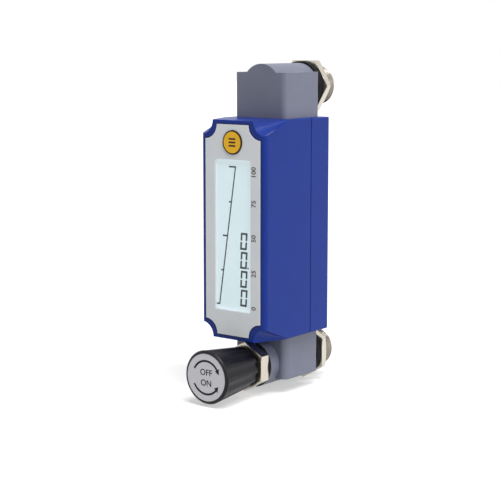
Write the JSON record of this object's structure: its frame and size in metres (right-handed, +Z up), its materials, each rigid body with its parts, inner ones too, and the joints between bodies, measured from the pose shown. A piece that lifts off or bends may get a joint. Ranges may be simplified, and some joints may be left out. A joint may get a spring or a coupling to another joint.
{
  "type": "digital flow meter",
  "caption": "Panel-mounted digital flow meter: slim box with a tall display, a round key, port blocks with threaded rear ports and a needle valve with a tapered knob.",
  "frame": {"origin": "midway between the axes of the two rear ports, on the front face of the panel that they pass through", "axes": "+Z up, from the inlet port to the outlet port; +Y backwards, along the port threads, so the display and knob face -Y; +X to the right as seen from the front"},
  "size_m": [0.0406, 0.0951, 0.1686],
  "materials": {
    "housing_blue": "matte",
    "label_grey": "satin",
    "window_clear": "gloss",
    "display_glass": "gloss",
    "key_yellow": "satin",
    "inner_white": "matte",
    "inner_black": "matte",
    "board_green": "satin",
    "dome_steel": "polished",
    "screw_steel": "satin",
    "cell_wrap": "satin",
    "contact_metal": "satin",
    "channel_metal": "satin",
    "block_grey": "satin",
    "port_metal": "satin",
    "nut_metal": "satin",
    "rubber_black": "matte",
    "knob_black": "matte",
    "disc_metal": "satin",
    "seat_white": "satin",
    "chip_black": "satin",
    "ribbon_film": "satin"
  },
  "bodies": {
    "root": {"front_housing": "housing_blue", "rear_cover": "housing_blue", "housing_seal": "rubber_black", "cover_screws": "screw_steel", "front_label": "label_grey", "display_window": "window_clear", "display_panel": "display_glass", "display_frame": "inner_white", "display_connectors": "rubber_black", "main_board": "board_green", "board_screws": "screw_steel", "key_dome": "dome_steel", "battery_holder": "inner_black", "battery_cells": "cell_wrap", "battery_contacts": "contact_metal", "flow_body": "channel_metal", "flow_element": "channel_metal", "sensor_board": "board_green", "sensor_chip": "chip_black", "sensor_seal": "rubber_black", "sensor_screws": "screw_steel", "sensor_ribbon": "ribbon_film", "upper_block": "block_grey", "lower_block": "block_grey", "upper_block_seal": "rubber_black", "lower_block_seal": "rubber_black", "upper_block_screws": "screw_steel", "lower_block_screws": "screw_steel", "upper_fitting": "port_metal", "lower_fitting": "port_metal", "upper_fitting_seal": "rubber_black", "lower_fitting_seal": "rubber_black", "upper_washer": "rubber_black", "lower_washer": "rubber_black", "upper_nut": "nut_metal", "lower_nut": "nut_metal", "valve_bonnet": "nut_metal", "bonnet_ring": "rubber_black", "valve_seat": "seat_white"},
    "key": {"mode_key": "key_yellow"},
    "spindle_seal": {"spindle_seal": "rubber_black"},
    "knob": {"valve_spindle": "port_metal", "valve_knob": "knob_black", "knob_disc": "disc_metal", "knob_screw": "screw_steel"}
  },
  "joints": [
    {"name": "key_press", "type": "slide", "parent": "root", "child": "key", "axis": [0, 1, 0], "range_m": [0, 0.0004], "stiffness_N_per_m": 100, "springref_m": -0.001},
    {"name": "spindle_travel", "type": "slide", "parent": "root", "child": "spindle_seal", "axis": [0, 1, 0], "range_m": [-0.0022, 0]},
    {"name": "knob_turn", "type": "hinge", "parent": "spindle_seal", "child": "knob", "pos_m": [0, -0.045, -0.0703], "axis": [0, 1, 0], "range_deg": [-1056, 0]}
  ],
  "couplings": [
    {"joint": "knob_turn", "follows": "spindle_travel", "rad_per_m": 8377.5}
  ]
}
